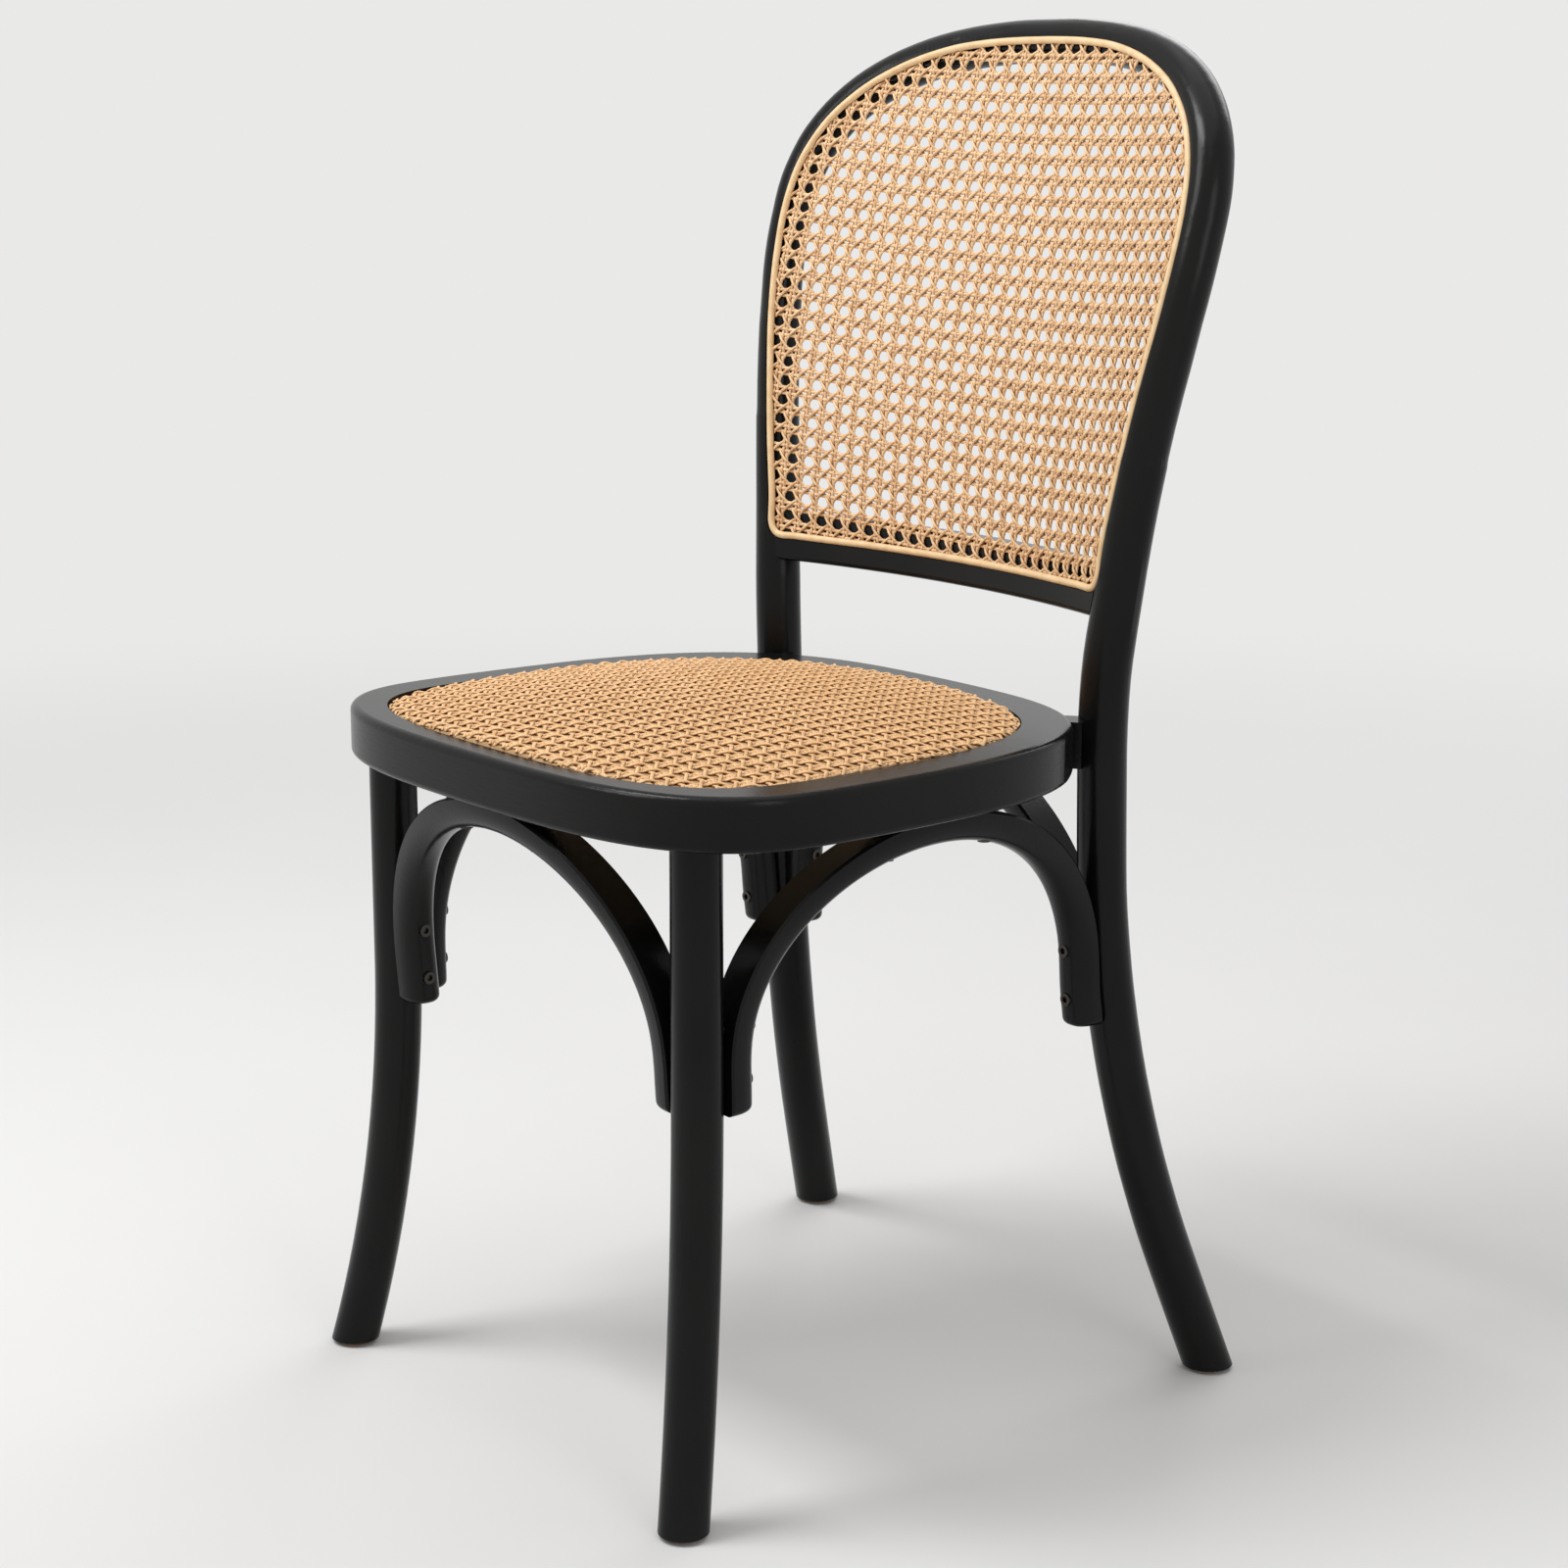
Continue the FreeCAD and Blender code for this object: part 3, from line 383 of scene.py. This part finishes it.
def seat_height(x, y):
    """Top of the seat: domed, rolling down at the outline."""
    share = seat_share(x, y)
    slope = np.hypot(seat_share(x + 0.5, y) - seat_share(x - 0.5, y),
                     seat_share(x, y + 0.5) - seat_share(x, y - 0.5))
    inset = np.clip((1 - share) / np.maximum(slope, 1e-4), 0, ROUND)
    roll = ROUND - np.sqrt(np.maximum(ROUND ** 2 - (ROUND - inset) ** 2, 0))
    return CROWN_Z - (x * x + (y - CROWN_Y) ** 2) / (2 * DOME) - roll


def seat_place(x, y, lift):
    """Points at a lift from the seat's top, and their normals."""
    dx = seat_height(x + 0.5, y) - seat_height(x - 0.5, y)
    dy = seat_height(x, y + 0.5) - seat_height(x, y - 0.5)
    normals = unit(np.stack([-dx, -dy, np.ones_like(x)], axis=1))
    points = np.stack([x, y, seat_height(x, y)], axis=1)
    return points + normals * (lift - STRANDS_BELOW)[:, None], normals


def in_seat(x, y):
    return seat_share(x, y) < STRANDS_END


seat_strands = weave(in_seat, seat_place, size=((-200, -237), (200, 120)), pitch=(14.85, 14.2),
                     parts=(0.1, 0.15), width=2.8, slim=2.6, thick=1.3, sway=0.6)
seat_cane = mesh_object("woven_seat", seat_strands, CANE_SEAT)
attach(seat_cane, "root")
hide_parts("seat_cane")


def pad_mesh():
    """Rings over the pad's top from its middle out, and a skirt down from the last one."""
    turn = np.linspace(0, 2 * math.pi, PAD_SPOKES, endpoint=False)
    c, s = np.cos(turn), np.sin(turn)
    depth = np.where(s > 0, REAR, FRONT)
    rings = []
    for share in PAD_SHARES:
        x = share * HALF * np.sign(c) * np.abs(c) ** (2 / POWER)
        y = SEAT_Y + share * depth * np.sign(s) * np.abs(s) ** (2 / POWER)
        rings.append(np.stack([x, y, seat_height(x, y) - PAD_BELOW], axis=1))
    skirt = rings[-1].copy()
    skirt[:, 2] = PAD_FOOT
    rings.append(skirt)
    faces = []
    for r in range(len(rings) - 1):
        for k in range(PAD_SPOKES):
            a, b = r * PAD_SPOKES + k, r * PAD_SPOKES + (k + 1) % PAD_SPOKES
            faces.append((a, b, b + PAD_SPOKES, a + PAD_SPOKES))
    return np.concatenate(rings), np.array(faces)


pad = mesh_object("seat_pad_cushion", [pad_mesh()], PAD)
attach(pad, "root")
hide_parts("seat_pad")


# Blocks that fill the space between the ring's rear flats and the stiles

BLOCK_WAY = math.radians(38.5)      # way that the ring's rear flats face
BLOCK_OUT = (188, 203.5)            # reach along that way, from the chair's axis
BLOCK_RUN = (-13.7, 8.3)            # reach along the flat
BLOCK_Z = (426.5, 457.5)
BOX_FACES = [(0, 3, 2, 1), (4, 5, 6, 7), (0, 1, 5, 4), (1, 2, 6, 5), (2, 3, 7, 6),
             (3, 0, 4, 7)]


def stile_block(side):
    """Box at the left (-1) or right (1) rear corner of the ring."""
    cos, sin = math.cos(BLOCK_WAY), math.sin(BLOCK_WAY)
    (near, far), (start, end) = BLOCK_OUT, BLOCK_RUN
    corners = [(side * (out * cos - run * sin), out * sin + run * cos, z)
               for z in BLOCK_Z
               for out, run in ((near, start), (far, start), (far, end), (near, end))]
    return np.array(corners), np.array([face[::side] for face in BOX_FACES])


blocks = mesh_object("stile_blocks", [stile_block(-1), stile_block(1)], WOOD_ACROSS)
blocks.data.shade_flat()
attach(blocks, "root")


# Floor and backdrop

BACKDROP = (0.82, 0.815, 0.81)
FLOOR_SIZE = 60
FADE_START, FADE_END = 0.9, 3.2     # distances over which the floor turns into the backdrop


def floor_material():
    """Pale floor that fades into the plain backdrop away from the chair."""
    mat, tree, shader = material("floor", (0.8, 0.79, 0.78), rough=0.8, specular=0.1)
    tint(tree, shader, noise(tree, 3), (0.2, (0.79, 0.785, 0.78)), (0.8, (0.81, 0.805, 0.8)))
    coords = tree.nodes.new("ShaderNodeTexCoord")
    away = tree.nodes.new("ShaderNodeVectorMath")
    away.operation = "LENGTH"
    fade = tree.nodes.new("ShaderNodeMapRange")
    fade.interpolation_type = "SMOOTHSTEP"
    fade.inputs["From Min"].default_value = FADE_START
    fade.inputs["From Max"].default_value = FADE_END
    plain = tree.nodes.new("ShaderNodeEmission")
    plain.inputs["Color"].default_value = (*BACKDROP, 1)
    blend = tree.nodes.new("ShaderNodeMixShader")
    tree.links.new(coords.outputs["Object"], away.inputs[0])
    tree.links.new(away.outputs["Value"], fade.inputs["Value"])
    tree.links.new(fade.outputs["Result"], blend.inputs["Fac"])
    tree.links.new(shader.outputs[0], blend.inputs[1])
    tree.links.new(plain.outputs[0], blend.inputs[2])
    tree.links.new(blend.outputs[0], tree.nodes["Material Output"].inputs["Surface"])
    return mat


bpy.ops.mesh.primitive_plane_add(size=FLOOR_SIZE, location=(0, 0, 0))
floor = bpy.context.object
floor.name = "floor"
floor.data.materials.append(floor_material())


# Light

def area_light(name, where, target, size, power):
    light = bpy.data.lights.new(name, "AREA")
    light.shape = "RECTANGLE"
    light.size, light.size_y = size
    light.energy = power
    obj = bpy.data.objects.new(name, light)
    obj.location = where
    obj.rotation_euler = (Vector(target) - Vector(where)).to_track_quat("-Z", "Y").to_euler()
    scene.collection.objects.link(obj)


def studio_world():
    """Dim white light all round; the camera and reflections see the plain backdrop."""
    world = bpy.data.worlds.new("studio")
    world.use_nodes = True
    tree = world.node_tree
    dim_light = tree.nodes["Background"]
    dim_light.inputs["Color"].default_value = (1, 1, 1, 1)
    dim_light.inputs["Strength"].default_value = 0.4
    backdrop = tree.nodes.new("ShaderNodeBackground")
    backdrop.inputs["Color"].default_value = (*BACKDROP, 1)
    path = tree.nodes.new("ShaderNodeLightPath")
    seen = path.outputs["Is Camera Ray"]
    for ray in ("Is Glossy Ray", "Is Transmission Ray"):
        either = tree.nodes.new("ShaderNodeMath")
        either.operation = "MAXIMUM"
        tree.links.new(seen, either.inputs[0])
        tree.links.new(path.outputs[ray], either.inputs[1])
        seen = either.outputs[0]
    mix = tree.nodes.new("ShaderNodeMixShader")
    tree.links.new(seen, mix.inputs["Fac"])
    tree.links.new(dim_light.outputs[0], mix.inputs[1])
    tree.links.new(backdrop.outputs[0], mix.inputs[2])
    tree.links.new(mix.outputs[0], tree.nodes["World Output"].inputs["Surface"])
    return world


area_light("key", (-1.2, -2.4, 2.6), (0, 0, 0.5), (1.3, 1.3), 28)
area_light("strip", (-0.75, -1.0, 2.5), (-0.75, -0.1, 0.5), (1.2, 0.4), 24)
area_light("fill", (2.6, -0.4, 1.6), (0, 0, 0.5), (1.0, 1.6), 9)
area_light("back", (-1.0, 2.4, 2.2), (0, 0, 0.5), (2.4, 1.2), 22)
area_light("top", (0, 0, 2.8), (0, 0, 0), (2.2, 2.2), 12)
scene.world = studio_world()


# Camera, at the photograph's viewing angle

AZIMUTH, ELEVATION, ROLL = math.radians(51.37), math.radians(12.52), math.radians(0.095)
CAMERA_AT = (1.57246, -1.25526, 0.85003)
LENS, SENSOR = 70.18, 36


def camera_axes():
    """Right, up and back of the camera, turned by the roll."""
    right = Vector((math.cos(AZIMUTH), math.sin(AZIMUTH), 0))
    back = Vector((math.sin(AZIMUTH) * math.cos(ELEVATION),
                   -math.cos(AZIMUTH) * math.cos(ELEVATION), math.sin(ELEVATION)))
    up = back.cross(right)
    turned_right = right * math.cos(ROLL) + up * math.sin(ROLL)
    turned_up = up * math.cos(ROLL) - right * math.sin(ROLL)
    return Matrix((turned_right, turned_up, back)).transposed().to_4x4()


camera_data = bpy.data.cameras.new("camera")
camera_data.sensor_width = SENSOR
camera_data.lens = LENS
camera = bpy.data.objects.new("camera", camera_data)
camera.matrix_world = Matrix.Translation(CAMERA_AT) @ camera_axes()
scene.collection.objects.link(camera)
scene.camera = camera

scene.view_settings.view_transform = "Standard"
scene.view_settings.look = "None"
